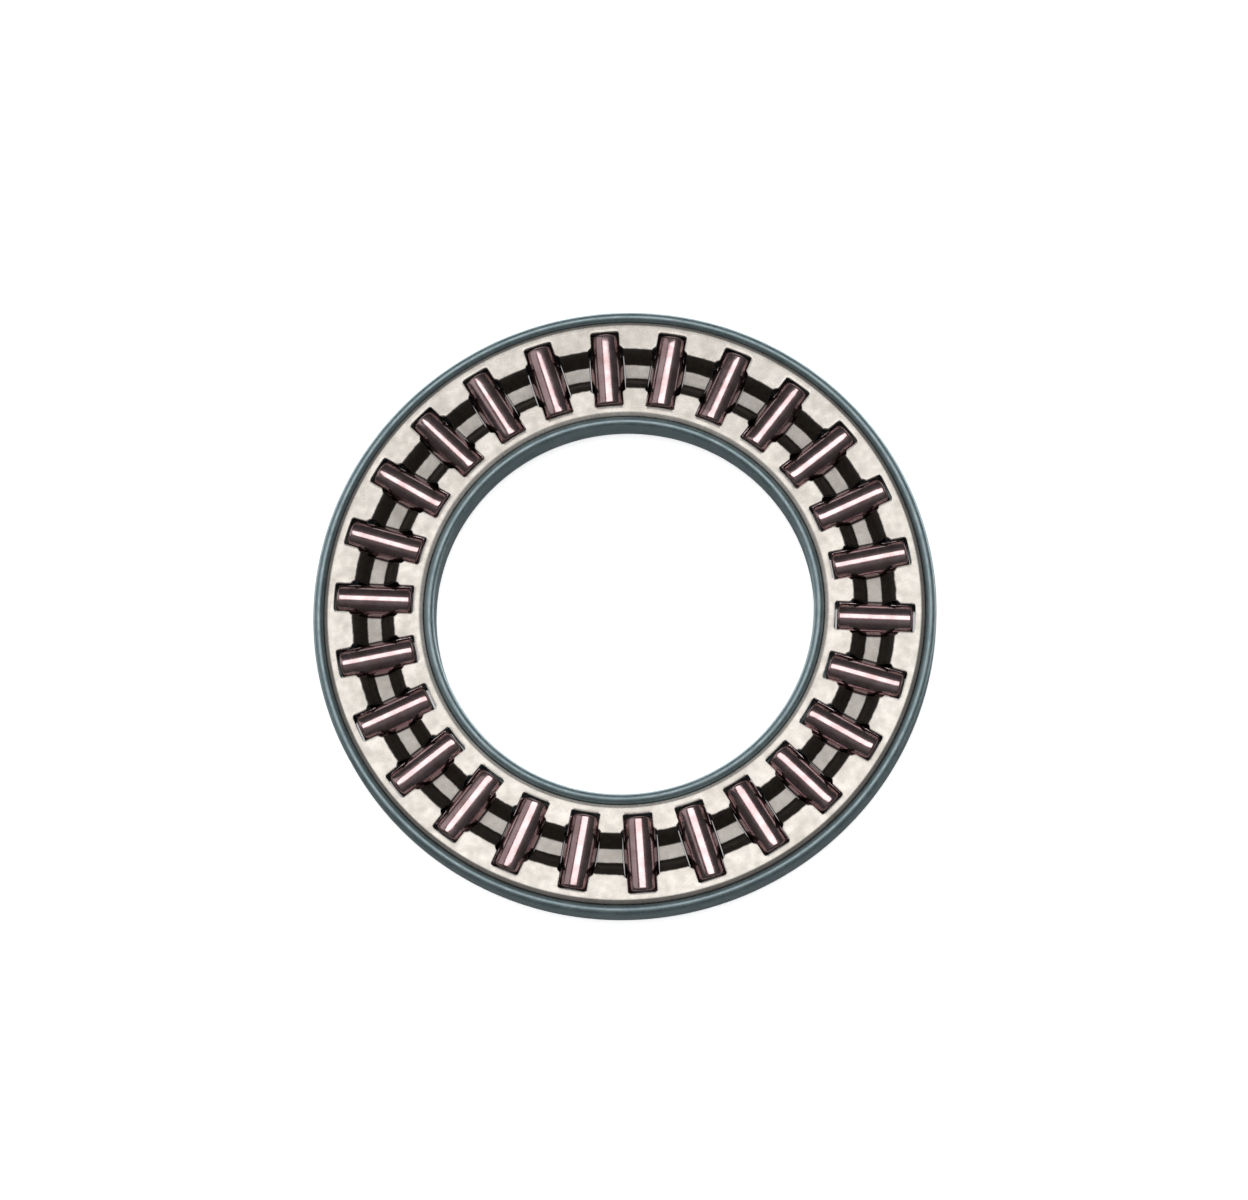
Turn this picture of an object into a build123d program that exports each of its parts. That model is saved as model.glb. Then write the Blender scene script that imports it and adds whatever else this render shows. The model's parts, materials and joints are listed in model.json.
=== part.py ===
from build123d import *

import os

# A needle roller thrust bearing: a ring of thin rollers lying along the radii of a pressed steel cage.
# Millimetres. +Z is the bearing's axis, and the origin is its centre, halfway between the two planes
# on which the rollers run. The cage is two thin shells, set back to back with their webs touching:
# the upper one nests inside the lower one, whose edges stand up beside it as folded rims.

# Envelope
bore_diameter = 22.225
outer_diameter = 36.5125
cage_height = 1.84

# Rollers
roller_count = 26
roller_diameter = 1.984
roller_length = 4.42
roller_pitch_radius = 14.69
roller_end_rounding = 0.2

# Sheet: its thickness, and the middle radius of its tight bends
sheet = 0.22
tight_bend = 0.14

# The sunken trough between the lands, where the two shells meet: radii of its corners, and its bends
trough_outer_radius = 15.78
web_outer_radius = 15.24
web_inner_radius = 14.15
trough_inner_radius = 13.61
trough_bend = 0.36

# The upper shell's flanges, and beside them the lower shell's rims. Each rim is the wall folded back
# inwards on itself and pressed flat, so its two layers are one thickness with a rounded top.
outer_flange_radius = 17.6
inner_flange_radius = 11.77
flange_gap = 0.03
floor_gap = 0.06
rim_height = 1.0
rim_rounding = 0.3

# Pockets: narrow between the lands, so that a roller can't drop out, and wide across the trough
pocket_end_clearance = 0.12
pocket_narrow_width = 1.7
pocket_wide_width = 2.1
pocket_wide_length = 2.5
pocket_flare_length = 0.24
pocket_end_rounding = 0.12
pocket_flare_rounding = 0.18

# Heights of the middle of the sheet
land_height = (cage_height - sheet) / 2
web_height = sheet / 2
flange_end_height = -(cage_height / 2 - sheet - floor_gap)
rim_foot_height = cage_height / 2 - rim_height

# Radii of the middle of the sheet
outer_flange_middle = outer_flange_radius - sheet / 2
inner_flange_middle = inner_flange_radius + sheet / 2
outer_wall_middle = (outer_diameter - sheet) / 2
inner_wall_middle = (bore_diameter + sheet) / 2

# Each rim fills the space between its flange and the wall's own face
outer_rim_width = outer_diameter / 2 - outer_flange_radius - flange_gap
inner_rim_width = inner_flange_radius - flange_gap - bore_diameter / 2
outer_rim_middle = (outer_diameter - outer_rim_width) / 2
inner_rim_middle = (bore_diameter + inner_rim_width) / 2
rim_middle_height = cage_height / 2 - rim_height / 2

pocket_length = roller_length + 2 * pocket_end_clearance

os.makedirs("parts", exist_ok=True)


def trough_corners(side):
    """Corners of the trough's mid-line from outside to inside, in the upper (1) or lower (-1) shell."""
    return [
        (trough_outer_radius, side * land_height),
        (web_outer_radius, side * web_height),
        (web_inner_radius, side * web_height),
        (trough_inner_radius, side * land_height),
    ]


# One pocket, centred on its roller, with its length along X
with BuildSketch() as pocket:
    with BuildLine():
        Polyline(
            (pocket_length / 2, 0),
            (pocket_length / 2, pocket_narrow_width / 2),
            (pocket_wide_length / 2 + pocket_flare_length, pocket_narrow_width / 2),
            (pocket_wide_length / 2, pocket_wide_width / 2),
            (0, pocket_wide_width / 2),
        )
        mirror(about=Plane.YZ)
        mirror(about=Plane.XZ)
    make_face()
    fillet(pocket.vertices().group_by(lambda corner: abs(corner.X))[-1], radius=pocket_end_rounding)
    flare_end = pocket_wide_length / 2 + pocket_flare_length
    flares = pocket.vertices().filter_by(
        lambda corner: pocket_wide_length / 2 - 0.01 < abs(corner.X) < flare_end + 0.01
    )
    fillet(flares, radius=pocket_flare_rounding)

with BuildSketch(Plane.XY.offset(-cage_height)) as pocket_ring:
    with PolarLocations(roller_pitch_radius, roller_count):
        add(pocket.sketch)


# Upper shell: two lands joined by the trough, with a flange turned down at each edge
with BuildPart() as upper_shell:
    with BuildSketch(Plane.XZ):
        with BuildLine():
            FilletPolyline(
                (outer_flange_middle, flange_end_height),
                (outer_flange_middle, land_height),
                *trough_corners(1),
                (inner_flange_middle, land_height),
                (inner_flange_middle, flange_end_height),
                radius=[tight_bend] + 4 * [trough_bend] + [tight_bend],
            )
        trace(line_width=sheet)
    revolve(axis=Axis.Z)
    extrude(pocket_ring.sketch, amount=2 * cage_height, mode=Mode.SUBTRACT)
upper_shell.part.label = "cage_upper_shell"
export_step(upper_shell.part, "parts/cage_upper_shell.step")


# Lower shell: the same lands and trough upside down, with walls that stand up to the upper shell's
# lands at the outer edge and at the bore, and end in the rims
with BuildPart() as lower_shell:
    with BuildSketch(Plane.XZ) as lower_section:
        with BuildLine():
            FilletPolyline(
                (outer_wall_middle, rim_foot_height),
                (outer_wall_middle, -land_height),
                *trough_corners(-1),
                (inner_wall_middle, -land_height),
                (inner_wall_middle, rim_foot_height),
                radius=[tight_bend] + 4 * [trough_bend] + [tight_bend],
            )
        trace(line_width=sheet)
        with Locations((outer_rim_middle, rim_middle_height)):
            Rectangle(outer_rim_width, rim_height)
        with Locations((inner_rim_middle, rim_middle_height)):
            Rectangle(inner_rim_width, rim_height)
        fillet(lower_section.vertices().group_by(Axis.Y)[-1], radius=rim_rounding)
    revolve(axis=Axis.Z)
    extrude(pocket_ring.sketch, amount=2 * cage_height, mode=Mode.SUBTRACT)
lower_shell.part.label = "cage_lower_shell"
export_step(lower_shell.part, "parts/cage_lower_shell.step")


def needle_roller(angle):
    """A roller along the radius at an angle in degrees, with its end corners rounded off."""
    outward = Vector(1, 0, 0).rotate(Axis.Z, angle)
    inner_end = Plane(
        origin=outward * (roller_pitch_radius - roller_length / 2), x_dir=(0, 0, 1), z_dir=outward
    )
    with BuildPart() as roller:
        with BuildSketch(inner_end):
            Circle(roller_diameter / 2)
        extrude(amount=roller_length)
        fillet(roller.edges().filter_by(GeomType.CIRCLE), radius=roller_end_rounding)
    return roller.part


# Rollers, the first along +X and the rest counterclockwise seen from above
for index in range(roller_count):
    roller = needle_roller(index * 360 / roller_count)
    roller.label = f"roller_{index + 1:02d}"
    export_step(roller, f"parts/{roller.label}.step")
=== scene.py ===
import json
import math

import bmesh
import bpy
from mathutils import Matrix, Vector


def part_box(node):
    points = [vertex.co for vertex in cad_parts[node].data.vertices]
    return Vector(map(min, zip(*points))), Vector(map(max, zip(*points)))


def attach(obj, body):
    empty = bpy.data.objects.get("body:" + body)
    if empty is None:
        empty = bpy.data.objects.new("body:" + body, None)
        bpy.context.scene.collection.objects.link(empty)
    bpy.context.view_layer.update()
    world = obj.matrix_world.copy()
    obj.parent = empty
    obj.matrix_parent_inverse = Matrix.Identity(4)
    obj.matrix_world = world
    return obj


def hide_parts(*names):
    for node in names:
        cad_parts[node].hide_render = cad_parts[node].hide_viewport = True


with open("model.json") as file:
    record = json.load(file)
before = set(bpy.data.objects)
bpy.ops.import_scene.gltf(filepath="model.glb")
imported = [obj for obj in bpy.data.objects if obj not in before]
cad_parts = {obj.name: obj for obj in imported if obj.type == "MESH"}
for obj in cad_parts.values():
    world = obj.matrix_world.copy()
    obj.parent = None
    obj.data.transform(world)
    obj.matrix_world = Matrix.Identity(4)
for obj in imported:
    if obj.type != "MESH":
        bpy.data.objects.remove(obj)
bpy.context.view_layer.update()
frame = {"nodes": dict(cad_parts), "record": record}

# A needle roller thrust bearing. Lengths in this script are in millimetres, as in the part's source,
# until a mesh is made, where they become metres.
MM = 0.001

# What the frame says
ROLLERS = sorted(name for name in frame["nodes"] if name.startswith("roller_"))
roller_low, roller_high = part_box("roller_01")
ROLLER_LENGTH = (roller_high.x - roller_low.x) / MM
ROLLER_RADIUS = (roller_high.z - roller_low.z) / 2 / MM
ROLLER_PITCH_RADIUS = (roller_high.x + roller_low.x) / 2 / MM
cage_low, cage_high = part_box("cage_lower_shell")
OUTER_RADIUS = min(cage_high.x, cage_high.y, -cage_low.x, -cage_low.y) / MM
CAGE_HEIGHT = (cage_high.z - cage_low.z) / MM
MOUNTS = {mount["name"]: mount for mount in frame["record"]["mounts"]}
BORE_RADIUS = MOUNTS["bore"]["dims"]["r_mm"]
PITCH_ANGLE = 2 * math.pi / len(ROLLERS)

# The sheet, and the shape of its section, as in the part's source
SHEET = 0.22
TIGHT_BEND = 0.14
TROUGH_BEND = 0.36
TROUGH_CORNERS = (15.78, 15.24, 14.15, 13.61)
OUTER_FLANGE_RADIUS = 17.6
INNER_FLANGE_RADIUS = 11.77
FLANGE_GAP = 0.03
FLOOR_GAP = 0.06
RIM_HEIGHT = 1.0
RIM_ROUNDING = 0.3

# The pockets
POCKET_END_CLEARANCE = 0.12
POCKET_NARROW_WIDTH = 1.7
POCKET_WIDE_WIDTH = 2.1
POCKET_WIDE_LENGTH = 2.5
POCKET_FLARE_LENGTH = 0.24
POCKET_END_ROUNDING = 0.12

LAND_HEIGHT = (CAGE_HEIGHT - SHEET) / 2
WEB_HEIGHT = SHEET / 2


# Meshing: the largest angle between points on a bend, the shortest run worth a point of its own, and how
# near a run's ends, as a share of it, an extra point may fall
BEND_STEP = math.radians(9)
SHORTEST_RUN = 1e-6
END_SHARE = 1e-4


def smooth_step(low, high, value):
    """0 below low, 1 above high, and an S curve between."""
    share = min(1.0, max(0.0, (value - low) / (high - low)))
    return share * share * (3 - 2 * share)


# ---------------------------------------------------------------- sheet sections


def bent_path(corners, radii):
    """Points and normals along straight runs joined by tangent arcs, one radius for each inner corner."""
    points = [Vector(corners[0])]
    for before, corner, after, radius in zip(corners, corners[1:], corners[2:], radii):
        before, corner, after = Vector(before), Vector(corner), Vector(after)
        coming = (corner - before).normalized()
        going = (after - corner).normalized()
        turn = coming.angle_signed(going)
        reach = radius * math.tan(abs(turn) / 2)
        start = corner - coming * reach
        side = 1 if turn > 0 else -1
        centre = start + Vector((coming.y, -coming.x)) * radius * side
        steps = max(3, math.ceil(abs(turn) / BEND_STEP))
        for k in range(steps + 1):
            angle = -turn * k / steps
            offset = start - centre
            offset.rotate(Matrix.Rotation(angle, 2))
            points.append(centre + offset)
    points.append(Vector(corners[-1]))
    return points


def with_stops(points, stops, longest):
    """The path with extra points where it passes the radii in stops, and no run longer than longest."""
    dense = [points[0]]
    for a, b in zip(points, points[1:]):
        if (b - a).length < SHORTEST_RUN:
            continue
        shares = {1.0}
        for stop in stops:
            if abs(b.x - a.x) > SHORTEST_RUN:
                share = (stop - a.x) / (b.x - a.x)
                if END_SHARE < share < 1 - END_SHARE:
                    shares.add(share)
        last = 0.0
        for share in sorted(shares):
            count = max(1, math.ceil((b - a).length * (share - last) / longest))
            dense += [a.lerp(b, last + (share - last) * k / count) for k in range(1, count + 1)]
            last = share
    return dense


def path_normals(points):
    """Unit normals on the left of the path, averaged between its runs."""
    normals = []
    for i, point in enumerate(points):
        ahead = points[min(i + 1, len(points) - 1)] - point
        behind = point - points[max(i - 1, 0)]
        along = ahead.normalized() if ahead.length else Vector((0, 0))
        along = along + (behind.normalized() if behind.length else Vector((0, 0)))
        along.normalize()
        normals.append(Vector((-along.y, along.x)))
    return normals


# ---------------------------------------------------------------- cage shells

POCKET_HALF_LENGTH = ROLLER_LENGTH / 2 + POCKET_END_CLEARANCE
POCKET_OUTER = ROLLER_PITCH_RADIUS + POCKET_HALF_LENGTH
POCKET_INNER = ROLLER_PITCH_RADIUS - POCKET_HALF_LENGTH

# Faces across a bar and across a pocket, and along a pocket's flare and a rim's rounding
BAR_COLUMNS = 10
END_COLUMNS = 4
FLARE_STEPS = 6
RIM_STEPS = 6

# The longest face along a section, and the rounding of edges sharper than an angle
LONGEST_RUN = 0.22
EDGE_ROUNDING = 0.016
EDGE_ANGLE = math.radians(50)


def pocket_half_width(radius):
    """Half the width of a pocket at a radius: rounded ends, narrow between the lands, then flared."""
    from_middle = abs(radius - ROLLER_PITCH_RADIUS)
    narrow, wide = POCKET_NARROW_WIDTH / 2, POCKET_WIDE_WIDTH / 2
    flare_start = POCKET_WIDE_LENGTH / 2
    flared = smooth_step(flare_start, flare_start + POCKET_FLARE_LENGTH, from_middle)
    width = wide + (narrow - wide) * flared
    into_end = from_middle - (POCKET_HALF_LENGTH - POCKET_END_ROUNDING)
    if into_end > 0:
        into_end = min(into_end, POCKET_END_ROUNDING)
        width -= POCKET_END_ROUNDING - math.sqrt(POCKET_END_ROUNDING**2 - into_end**2)
    return width


def pocket_stops():
    """Radii at which a section needs a row of points to draw the pockets' rounded outline."""
    quarter = [math.sin(math.radians(a)) for a in (0, 30, 60, 90)]
    rounding = [POCKET_HALF_LENGTH - POCKET_END_ROUNDING * (1 - s) for s in quarter]
    flare = [POCKET_WIDE_LENGTH / 2 + POCKET_FLARE_LENGTH * k / FLARE_STEPS for k in range(FLARE_STEPS + 1)]
    return sorted(ROLLER_PITCH_RADIUS + side * d for side in (-1, 1) for d in rounding + flare)


def cage_shell(name, corners, radii, outer_cap=(), inner_cap=()):
    """A ring of bent sheet with a pocket for each roller, as a closed mesh of quads.

    The sheet's mid-line runs from the outer edge to the bore. A cap is a list of section points that
    goes round a thicker end of the sheet, from its right side to its left at the outer edge, and from
    left to right at the bore. Without caps, the ends are cut square.
    """
    path = with_stops(bent_path(corners, radii), pocket_stops(), LONGEST_RUN)
    normals = path_normals(path)
    left = [p + n * SHEET / 2 for p, n in zip(path, normals)]
    right = [p - n * SHEET / 2 for p, n in zip(path, normals)]
    loop = left + list(inner_cap) + right[::-1] + list(outer_cap)
    right_start = len(left) + len(inner_cap) + len(right) - 1
    outer_end = min(range(len(path)), key=lambda i: abs(path[i].x - POCKET_OUTER))
    inner_end = min(range(len(path)), key=lambda i: abs(path[i].x - POCKET_INNER))
    pocket_rows = set(range(outer_end, inner_end))
    pocket_rows |= {right_start - row - 1 for row in pocket_rows}
    count = len(ROLLERS)
    verts, faces, index = [], [], {}

    def vertex(row, sector, column):
        """Columns 0 to BAR_COLUMNS cross a bar, and the rest cross the pocket after it."""
        if column >= BAR_COLUMNS + END_COLUMNS:
            sector, column = sector + 1, column - BAR_COLUMNS - END_COLUMNS
        key = (row % len(loop), sector % count, column)
        if key not in index:
            radius, height = loop[key[0]]
            half = math.asin(pocket_half_width(radius) / radius)
            angle = sector * PITCH_ANGLE + half
            if column <= BAR_COLUMNS:
                share = column / BAR_COLUMNS
                crowded = 0.5 - 0.5 * math.cos(math.pi * share)
                angle += (PITCH_ANGLE - 2 * half) * (crowded + share) / 2
            else:
                angle += PITCH_ANGLE - 2 * half + 2 * half * (column - BAR_COLUMNS) / END_COLUMNS
            index[key] = len(verts)
            verts.append((radius * math.cos(angle) * MM, radius * math.sin(angle) * MM, height * MM))
        return index[key]

    def quad(a, b, c, d):
        faces.append((vertex(*a), vertex(*b), vertex(*c), vertex(*d)))

    for k in range(count):
        for row in range(len(loop)):
            for c in range(BAR_COLUMNS if row in pocket_rows else BAR_COLUMNS + END_COLUMNS):
                quad((row, k, c), (row, k, c + 1), (row + 1, k, c + 1), (row + 1, k, c))
        for row in range(outer_end, inner_end):
            mate = right_start - row
            for c in (0, BAR_COLUMNS):
                quad((row, k, c), (row + 1, k, c), (mate - 1, k, c), (mate, k, c))
        for row in (outer_end, inner_end):
            mate = right_start - row
            for c in range(BAR_COLUMNS, BAR_COLUMNS + END_COLUMNS):
                quad((row, k, c), (row, k, c + 1), (mate, k, c + 1), (mate, k, c))

    return finished_object(name, verts, faces, EDGE_ROUNDING)


def finished_object(name, verts, faces, edge_width=0):
    """A smooth-shaded object from a mesh, facing outwards, its sharp edges rounded by edge_width."""
    mesh = bpy.data.meshes.new(name)
    mesh.from_pydata(verts, [], faces)
    shape = bmesh.new()
    shape.from_mesh(mesh)
    bmesh.ops.recalc_face_normals(shape, faces=shape.faces)
    for face in shape.faces:
        face.smooth = True
    shape.to_mesh(mesh)
    shape.free()
    piece = bpy.data.objects.new(name, mesh)
    bpy.context.scene.collection.objects.link(piece)
    if edge_width:
        rounding = piece.modifiers.new("rounded edges", "BEVEL")
        rounding.width = edge_width * MM
        rounding.segments = 2
        rounding.limit_method = "ANGLE"
        rounding.angle_limit = EDGE_ANGLE
        rounding.use_clamp_overlap = False
    weighted = piece.modifiers.new("flat faces stay flat", "WEIGHTED_NORMAL")
    weighted.keep_sharp = True
    return piece


def trough(side):
    """The four corners of the trough's mid-line, from outside to inside."""
    heights = (LAND_HEIGHT, WEB_HEIGHT, WEB_HEIGHT, LAND_HEIGHT)
    return [(radius, side * height) for radius, height in zip(TROUGH_CORNERS, heights)]


def make_upper_shell():
    outer, inner = OUTER_FLANGE_RADIUS - SHEET / 2, INNER_FLANGE_RADIUS + SHEET / 2
    flange_end = -(CAGE_HEIGHT / 2 - SHEET - FLOOR_GAP)
    corners = [(outer, flange_end), (outer, LAND_HEIGHT), *trough(1),
               (inner, LAND_HEIGHT), (inner, flange_end)]
    return cage_shell("upper_shell", corners, [TIGHT_BEND] + 4 * [TROUGH_BEND] + [TIGHT_BEND])


def rim_cap(wall_side, flange_side):
    """Section points up the wall's own face, over the rounded top of a rim, and down to its foot."""
    top, foot = CAGE_HEIGHT / 2, CAGE_HEIGHT / 2 - RIM_HEIGHT
    inward = 1 if flange_side > wall_side else -1
    points = []
    for side, first_angle, lean in ((wall_side, 0, inward), (flange_side, 90, -inward)):
        for k in range(RIM_STEPS + 1):
            angle = math.radians(first_angle + 90 * k / RIM_STEPS)
            across = 1 - abs(math.cos(angle))
            points.append(Vector((side + lean * RIM_ROUNDING * across,
                                  top - RIM_ROUNDING * (1 - math.sin(angle)))))
    whole = [Vector((wall_side, foot)), *points, Vector((flange_side, foot))]
    return with_stops(whole, (), LONGEST_RUN)[1:]


def make_lower_shell():
    outer_wall, inner_wall = OUTER_RADIUS - SHEET / 2, BORE_RADIUS + SHEET / 2
    rim_foot = CAGE_HEIGHT / 2 - RIM_HEIGHT
    corners = [(outer_wall, rim_foot), (outer_wall, -LAND_HEIGHT), *trough(-1),
               (inner_wall, -LAND_HEIGHT), (inner_wall, rim_foot)]
    radii = [TIGHT_BEND] + 4 * [TROUGH_BEND] + [TIGHT_BEND]
    outer_cap = rim_cap(OUTER_RADIUS, OUTER_FLANGE_RADIUS + FLANGE_GAP)[::-1]
    inner_cap = rim_cap(BORE_RADIUS, INNER_FLANGE_RADIUS - FLANGE_GAP)
    return cage_shell("lower_shell", corners, radii, outer_cap, inner_cap)


# ---------------------------------------------------------------- rollers

ROLLER_SIDES = 72
END_ROUNDING = 0.2
END_DISH_RADIUS = 0.42
END_DISH_DEPTH = 0.05
END_DISH_SLOPE = 0.07
END_DISH_STEPS = 3
END_ROUNDING_STEPS = 6
BODY_STEPS = 6
CROWN = 0.004


def roller_profile():
    """(distance along the axis, radius) from the middle of one end face to the middle of the other."""
    half = ROLLER_LENGTH / 2
    end = [(half - END_DISH_DEPTH, END_DISH_RADIUS * k / END_DISH_STEPS)
           for k in range(1, END_DISH_STEPS + 1)]
    end.append((half, END_DISH_RADIUS + END_DISH_SLOPE))
    flat = ROLLER_RADIUS - END_ROUNDING
    end.append((half, (flat + END_DISH_RADIUS + END_DISH_SLOPE) / 2))
    for k in range(END_ROUNDING_STEPS + 1):
        angle = math.radians(90 * k / END_ROUNDING_STEPS)
        end.append((half - END_ROUNDING * (1 - math.cos(angle)),
                    flat - CROWN + END_ROUNDING * math.sin(angle)))
    body_half = half - END_ROUNDING
    body = []
    for k in range(1, 2 * BODY_STEPS):
        along = body_half * (1 - k / BODY_STEPS)
        body.append((along, ROLLER_RADIUS - CROWN * (along / body_half) ** 2))
    return end + body + [(-along, radius) for along, radius in reversed(end)]


def make_roller(name, angle):
    """A crowned roller along the radius at an angle, with rounded corners and a shallow dished end."""
    outward = Vector((math.cos(angle), math.sin(angle), 0))
    across = Vector((-math.sin(angle), math.cos(angle), 0))
    up = Vector((0, 0, 1))
    verts, faces = [], []
    rings = roller_profile()

    def point(along, radius, turn):
        place = outward * (ROLLER_PITCH_RADIUS + along)
        place += (across * math.cos(turn) + up * math.sin(turn)) * radius
        return tuple(place * MM)

    for along, radius in rings:
        for k in range(ROLLER_SIDES):
            verts.append(point(along, radius, 2 * math.pi * k / ROLLER_SIDES))
    for ring in range(len(rings) - 1):
        for k in range(ROLLER_SIDES):
            here, there = ring * ROLLER_SIDES, (ring + 1) * ROLLER_SIDES
            after = (k + 1) % ROLLER_SIDES
            faces.append((here + k, there + k, there + after, here + after))
    for ring, order in ((0, 1), (len(rings) - 1, -1)):
        middle = len(verts)
        verts.append(point(rings[ring][0], 0, 0))
        for k in range(ROLLER_SIDES):
            a, b = ring * ROLLER_SIDES + k, ring * ROLLER_SIDES + (k + 1) % ROLLER_SIDES
            faces.append((middle, a, b) if order > 0 else (middle, b, a))

    return finished_object(name, verts, faces)


# ---------------------------------------------------------------- materials


# Painted shade: how light the sheet is left on the trough's web and walls and in the two seams, beside the
# unshaded lands
WEB_SHADE = 0.62
WALL_SHADE = 0.01
OUTER_SEAM_SHADE = 0.20
INNER_SEAM_SHADE = 0.60
SEAM_WIDTH = 0.30

# Height of the foot of the seams' painted shade, above the lower lands, which get no seam shade on their
# underside
SEAM_SHADE_FOOT = -0.6

# Distances from the pitch circle at which the web's painted shade ends, the walls' deeper painted shade
# begins and ends, and the unshaded lands begin
TROUGH_STEPS = (0.37, 0.43, 1.20, 1.28)
TROUGH_REACH = 1.6

# How far the edges of the trough's painted shade wander, and where a seam's painted shade ends and the
# unshaded sheet begins, as shares of its width
WANDER = 0.12
SEAM_STEPS = (0.35, 0.62)

# Noise scales of the sheet, the rollers and the floor
WANDER_SCALE = 2200
MOTTLE_SCALE = 900
SPECK_SCALE = 5200
SHADE_SCALE = 3100
SHEET_ROUGHNESS_SCALE = 2600
GRAIN_SCALE = 14000
DENT_SCALE = 1700
HEAT_SCALE = 1100
GRINDING_SCALE = 26
ROLLER_ROUGHNESS_SCALE = 3000
PAPER_SCALE = 40

# Colours: light and dark in the mottled sheet, and from lighter to darker in the painted shade of the
# recesses
UPPER_LIGHT, UPPER_DARK = (0.70, 0.665, 0.62), (0.57, 0.535, 0.49)
LOWER_LIGHT, LOWER_DARK = (0.37, 0.47, 0.50), (0.30, 0.40, 0.43)
SHADE_LIGHT, SHADE_DARK = (0.010, 0.0065, 0.004), (0.004, 0.0025, 0.0015)
ROLLER_LIGHT, ROLLER_DARK = (0.82, 0.63, 0.65), (0.62, 0.42, 0.43)


class Nodes:
    """A node tree under construction, with short calls for the nodes it uses."""

    def __init__(self, tree, coordinates):
        self.tree = tree
        self.point = tree.nodes.new("ShaderNodeTexCoord").outputs[coordinates]

    def link(self, source, target):
        self.tree.links.new(source, target)

    def ramp(self, source, stops):
        """A colour or a grey from (position, value) stops."""
        node = self.tree.nodes.new("ShaderNodeValToRGB")
        while len(node.color_ramp.elements) < len(stops):
            node.color_ramp.elements.new(0.5)
        for element, (position, value) in zip(node.color_ramp.elements, stops):
            element.position = position
            element.color = (*value, 1) if isinstance(value, tuple) else (value, value, value, 1)
        self.link(source, node.inputs["Fac"])
        return node.outputs["Color"]

    def math(self, operation, *values):
        node = self.tree.nodes.new("ShaderNodeMath")
        node.operation = operation
        for socket, value in zip(node.inputs, values):
            if isinstance(value, (int, float)):
                socket.default_value = value
            else:
                self.link(value, socket)
        return node.outputs[0]

    def mix(self, mode, amount, a, b):
        node = self.tree.nodes.new("ShaderNodeMix")
        node.data_type = "RGBA"
        node.blend_type = mode
        if isinstance(amount, (int, float)):
            node.inputs["Factor"].default_value = amount
        else:
            self.link(amount, node.inputs["Factor"])
        for socket, value in ((node.inputs[6], a), (node.inputs[7], b)):
            if isinstance(value, tuple):
                socket.default_value = (*value, 1)
            else:
                self.link(value, socket)
        return node.outputs[2]

    def map_range(self, source, start, end, low=0.0, high=1.0, curve="LINEAR"):
        """Low where source is at start, high where it is at end, and between them on a curve."""
        node = self.tree.nodes.new("ShaderNodeMapRange")
        node.interpolation_type = curve
        for socket, value in (("From Min", start), ("From Max", end), ("To Min", low), ("To Max", high)):
            node.inputs[socket].default_value = value
        self.link(source, node.inputs["Value"])
        return node.outputs["Result"]

    def upward(self):
        """The point's Z."""
        split = self.tree.nodes.new("ShaderNodeSeparateXYZ")
        self.link(self.point, split.inputs["Vector"])
        return split.outputs["Z"]


class Material(Nodes):
    """A material under construction around its Principled shader."""

    def __init__(self, name):
        self.material = bpy.data.materials.new(name)
        self.material.use_nodes = True
        super().__init__(self.material.node_tree, "Object")
        self.shader = self.tree.nodes["Principled BSDF"]

    def noise(self, scale, detail=3):
        """Noise whose features are about 1000 / scale millimetres across."""
        node = self.tree.nodes.new("ShaderNodeTexNoise")
        node.inputs["Scale"].default_value = scale
        node.inputs["Detail"].default_value = detail
        self.link(self.point, node.inputs["Vector"])
        return node.outputs["Fac"]

    def radius(self):
        """How far a point lies from the bearing's axis, in millimetres."""
        flat = self.tree.nodes.new("ShaderNodeVectorMath")
        flat.operation = "MULTIPLY"
        flat.inputs[1].default_value = (1 / MM, 1 / MM, 0)
        self.link(self.point, flat.inputs[0])
        length = self.tree.nodes.new("ShaderNodeVectorMath")
        length.operation = "LENGTH"
        self.link(flat.outputs[0], length.inputs[0])
        return length.outputs["Value"]

    def height(self):
        """How high a point lies above the bearing's middle plane, in millimetres."""
        return self.math("MULTIPLY", self.upward(), 1 / MM)

    def bump(self, strength, distance_mm, source, under=None):
        node = self.tree.nodes.new("ShaderNodeBump")
        node.inputs["Strength"].default_value = strength
        node.inputs["Distance"].default_value = distance_mm * MM
        self.link(source, node.inputs["Height"])
        if under is not None:
            self.link(under, node.inputs["Normal"])
        return node.outputs["Normal"]


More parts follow.
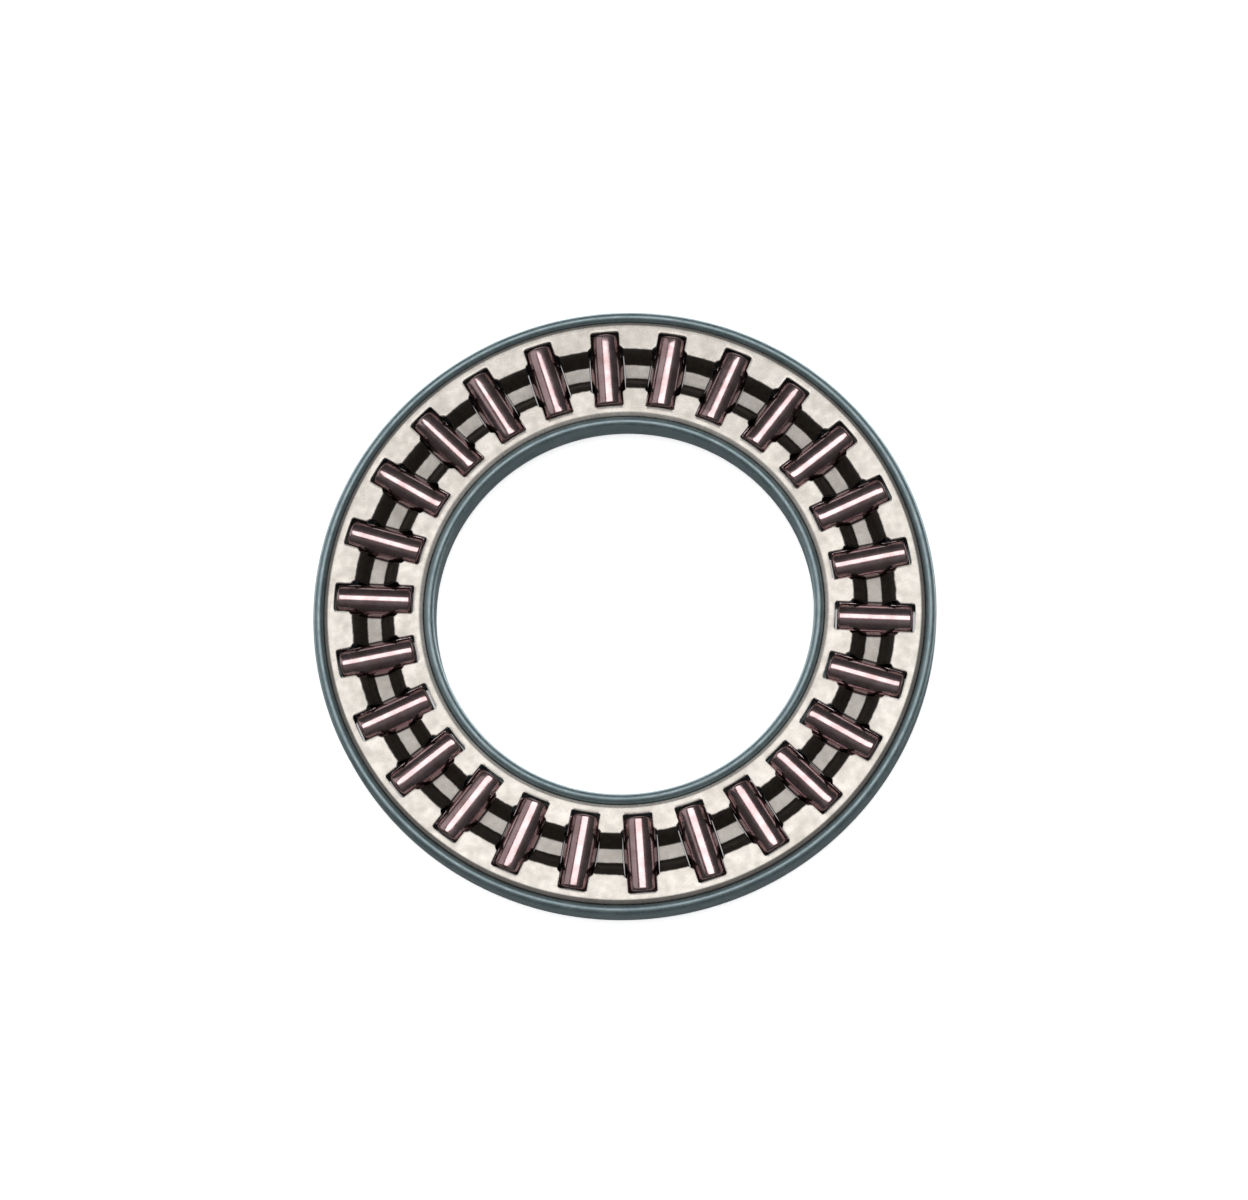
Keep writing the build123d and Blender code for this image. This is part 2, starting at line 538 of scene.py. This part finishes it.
def unshaded_share(n):
    """1 where the sheet is left unshaded, falling to a few percent in the painted shade of the trough and
    seams.
    """
    radius = n.radius()
    from_middle = n.math("ABSOLUTE", n.math("SUBTRACT", radius, ROLLER_PITCH_RADIUS))
    wander = n.math("MULTIPLY", n.math("SUBTRACT", n.noise(WANDER_SCALE), 0.5), WANDER)
    web_end, wall_start, wall_end, land_start = (step / TROUGH_REACH for step in TROUGH_STEPS)
    # Painted shade: the trough's web darker than the lands, and its walls nearly black
    unshaded = n.ramp(n.math("DIVIDE", n.math("ADD", from_middle, wander), TROUGH_REACH),
                  [(0.0, WEB_SHADE), (web_end, WEB_SHADE), (wall_start, WALL_SHADE),
                   (wall_end, WALL_SHADE), (land_start, 1.0)])
    underneath = n.math("LESS_THAN", n.height(), SEAM_SHADE_FOOT)
    # Painted shade along the two seams at the flange radii, left off the underside
    for flange, land_side, tone in ((OUTER_FLANGE_RADIUS, -1, OUTER_SEAM_SHADE),
                                    (INNER_FLANGE_RADIUS, 1, INNER_SEAM_SHADE)):
        away = n.math("ABSOLUTE", n.math("SUBTRACT", radius, flange + land_side * SEAM_WIDTH * 0.3))
        seam_end, open_start = SEAM_STEPS
        groove_shade = n.ramp(n.math("DIVIDE", away, SEAM_WIDTH), [(seam_end, tone), (open_start, 1.0)])
        groove_shade = n.mix("MIX", underneath, groove_shade, (1.0, 1.0, 1.0))
        unshaded = n.mix("MULTIPLY", 1.0, unshaded, groove_shade)
    return unshaded


def pressed_steel(name, light, dark, roughness, metallic):
    """Satin pressed strip: mottled tone, tumbling marks and fine grain, with dark non-metallic painted
    shade in its recesses.
    """
    n = Material(name)
    unshaded = unshaded_share(n)
    n.shader.inputs["Specular IOR Level"].default_value = 0.15
    n.link(n.math("MULTIPLY", unshaded, metallic), n.shader.inputs["Metallic"])
    mottle = n.ramp(n.noise(MOTTLE_SCALE, 4), [(0.32, dark), (0.66, light)])
    specks = n.ramp(n.noise(SPECK_SCALE, 5), [(0.36, 0.80), (0.52, 1.0)])
    tone = n.mix("MULTIPLY", 0.55, mottle, specks)
    # Painted shade colour: dark brown where the sheet is shaded, and metallic scaled down by the same share
    shade_colour = n.ramp(n.noise(SHADE_SCALE), [(0.35, SHADE_DARK), (0.65, SHADE_LIGHT)])
    n.link(n.mix("MIX", unshaded, shade_colour, tone), n.shader.inputs["Base Color"])
    rough = n.ramp(n.noise(SHEET_ROUGHNESS_SCALE, 4), [(0.3, roughness - 0.06), (0.7, roughness + 0.08)])
    n.link(rough, n.shader.inputs["Roughness"])
    grain = n.bump(0.35, 0.004, n.noise(GRAIN_SCALE))
    dents = n.bump(0.30, 0.012, n.noise(DENT_SCALE), under=grain)
    n.link(dents, n.shader.inputs["Normal"])
    return n.material


def roller_steel(name):
    """Hardened steel, ground all round: fine rings about the roller's axis over a polished skin."""
    n = Material(name)
    n.shader.inputs["Metallic"].default_value = 1
    heat = n.ramp(n.noise(HEAT_SCALE), [(0.3, ROLLER_DARK), (0.7, ROLLER_LIGHT)])
    rings = n.tree.nodes.new("ShaderNodeTexNoise")
    rings.noise_dimensions = "1D"
    rings.inputs["Scale"].default_value = GRINDING_SCALE
    rings.inputs["Detail"].default_value = 5
    n.link(n.radius(), rings.inputs["W"])
    lines = n.ramp(rings.outputs["Fac"], [(0.35, 0.82), (0.6, 1.0)])
    n.link(n.mix("MULTIPLY", 0.5, heat, lines), n.shader.inputs["Base Color"])
    rough = n.ramp(n.noise(ROLLER_ROUGHNESS_SCALE), [(0.3, 0.10), (0.7, 0.18)])
    n.link(rough, n.shader.inputs["Roughness"])
    n.link(n.bump(0.25, 0.001, rings.outputs["Fac"]), n.shader.inputs["Normal"])
    return n.material


def floor_paper(name):
    """Plain matt white paper with a barely visible tooth, giving off a little light of its own."""
    n = Material(name)
    n.shader.inputs["Roughness"].default_value = 0.9
    n.link(n.ramp(n.noise(PAPER_SCALE, 2), [(0.3, 0.93), (0.7, 0.95)]), n.shader.inputs["Base Color"])
    n.shader.inputs["Emission Color"].default_value = (1, 1, 1, 1)
    n.shader.inputs["Emission Strength"].default_value = 0.40
    return n.material


upper_steel = pressed_steel("upper_shell_steel", UPPER_LIGHT, UPPER_DARK, roughness=0.28, metallic=0.72)
lower_steel = pressed_steel("lower_shell_steel", LOWER_LIGHT, LOWER_DARK, roughness=0.40, metallic=0.96)
needle_steel = roller_steel("roller_steel")

# ---------------------------------------------------------------- assembly


def place(piece, node, body, slot, material):
    piece.data.materials.append(material)
    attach(piece, body)
    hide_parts(node)


place(make_upper_shell(), "cage_upper_shell", "cage", "upper_shell_steel", upper_steel)
place(make_lower_shell(), "cage_lower_shell", "cage", "lower_shell_steel", lower_steel)
for number, node in enumerate(ROLLERS):
    needle = make_roller(node.replace("roller", "needle"), number * PITCH_ANGLE)
    place(needle, node, node, "roller_steel", needle_steel)

# ---------------------------------------------------------------- stage

FLOOR_SIZE = 2.0
floor_mesh = bpy.data.meshes.new("floor")
h, z = FLOOR_SIZE / 2, roller_low.z
floor_mesh.from_pydata([(-h, -h, z), (h, -h, z), (h, h, z), (-h, h, z)], [], [(0, 1, 2, 3)])
floor = bpy.data.objects.new("floor", floor_mesh)
floor.data.materials.append(floor_paper("floor_paper"))
floor.visible_glossy = False
bpy.context.scene.collection.objects.link(floor)

# The camera looks down on the upper face, a little tilted off the bearing's axis and rolled
CAMERA_TILT = math.radians(15.6)
CAMERA_ROLL = math.radians(13.0)
CAMERA_TURN = math.radians(1.8)
CAMERA_DISTANCE = 13 * OUTER_RADIUS
CAMERA_LENS = 117.2
AIM_RIGHT, AIM_UP = 0.047, 0.413

back = Vector((math.sin(CAMERA_TURN) * math.sin(CAMERA_TILT),
               -math.cos(CAMERA_TURN) * math.sin(CAMERA_TILT),
               math.cos(CAMERA_TILT)))
level = Vector((math.cos(CAMERA_TURN), math.sin(CAMERA_TURN), 0))
rise = back.cross(level)
camera_up = rise * math.cos(CAMERA_ROLL) + level * math.sin(CAMERA_ROLL)
camera_right = level * math.cos(CAMERA_ROLL) - rise * math.sin(CAMERA_ROLL)
aim = Vector((0, 0, CAGE_HEIGHT / 2)) + camera_right * AIM_RIGHT + camera_up * AIM_UP

camera = bpy.data.objects.new("camera", bpy.data.cameras.new("camera"))
bpy.context.scene.collection.objects.link(camera)
camera.matrix_world = Matrix.Translation((aim + back * CAMERA_DISTANCE) * MM) @ Matrix(
    (camera_right, camera_up, back)).transposed().to_4x4()
camera.data.lens = CAMERA_LENS
camera.data.clip_start = 0.01
bpy.context.scene.camera = camera


def softbox(name, toward, up, width, depth, power, colour):
    """A rectangular area light facing the bearing from a direction, its width across up, in metres."""
    lamp = bpy.data.lights.new(name, "AREA")
    lamp.shape = "RECTANGLE"
    lamp.size, lamp.size_y = width, depth
    lamp.energy = power
    lamp.color = colour
    light = bpy.data.objects.new(name, lamp)
    toward = toward.normalized()
    side = up.cross(toward).normalized()
    light.matrix_world = Matrix.Translation(toward * LIGHT_DISTANCE) @ Matrix(
        (side, toward.cross(side), toward)).transposed().to_4x4()
    bpy.context.scene.collection.objects.link(light)


LIGHT_DISTANCE = 0.32
KEY_LEAN = math.radians(10.5)
SIDE_LEAN = math.radians(-52)
key_toward = Matrix.Rotation(-KEY_LEAN, 3, camera_right) @ Vector((0, 0, 1))
softbox("key", key_toward, camera_up, width=0.23, depth=0.15, power=0.185, colour=(1.0, 0.98, 0.965))
side_toward = Matrix.Rotation(SIDE_LEAN, 3, camera_up) @ key_toward
softbox("side", side_toward, camera_up, width=0.20, depth=0.22, power=0.050, colour=(1.0, 0.93, 0.93))

# What glossy rays see in place of white paper: a dark room, with tones from straight down to straight up
ROOM_TONES = ((0.0, 0.24), (0.35, 0.10), (0.5, 0.015), (0.66, 0.03), (0.86, 0.045), (1.0, 0.16))

# Below the horizon the room is light on the far side, and dark on the near side and straight down. The
# change runs along a direction, between two distances along it, and fades in between two heights.
LOW_NEAR, LOW_FAR = 0.13, 1.9
LOW_RISE = 0.8
LOW_CHANGE = (-0.45, 0.35)
LOW_FADE = (0.20, -0.08)

world = bpy.data.worlds.new("studio")
world.use_nodes = True
bpy.context.scene.world = world
sky = Nodes(world.node_tree, "Generated")
paper = sky.tree.nodes["Background"]
paper.inputs["Color"].default_value = (1, 1, 1, 1)
paper.inputs["Strength"].default_value = 1.0
upward = sky.upward()
high_tone = sky.ramp(sky.map_range(upward, -1, 1), ROOM_TONES)
far = Vector((camera_up.x, camera_up.y, 0)).normalized()
toward_far = sky.tree.nodes.new("ShaderNodeVectorMath")
toward_far.operation = "DOT_PRODUCT"
toward_far.inputs[1].default_value = far + Vector((0, 0, LOW_RISE))
sky.link(sky.point, toward_far.inputs[0])
low_tone = sky.map_range(toward_far.outputs["Value"], *LOW_CHANGE, LOW_NEAR, LOW_FAR, "SMOOTHSTEP")
room = sky.tree.nodes.new("ShaderNodeBackground")
sky.link(sky.mix("MIX", sky.map_range(upward, *LOW_FADE), high_tone, low_tone), room.inputs["Color"])
either = sky.tree.nodes.new("ShaderNodeMixShader")
sky.link(sky.tree.nodes.new("ShaderNodeLightPath").outputs["Is Glossy Ray"], either.inputs["Fac"])
sky.link(paper.outputs[0], either.inputs[1])
sky.link(room.outputs[0], either.inputs[2])
sky.link(either.outputs[0], sky.tree.nodes["World Output"].inputs["Surface"])

bpy.context.scene.view_settings.view_transform = "Standard"
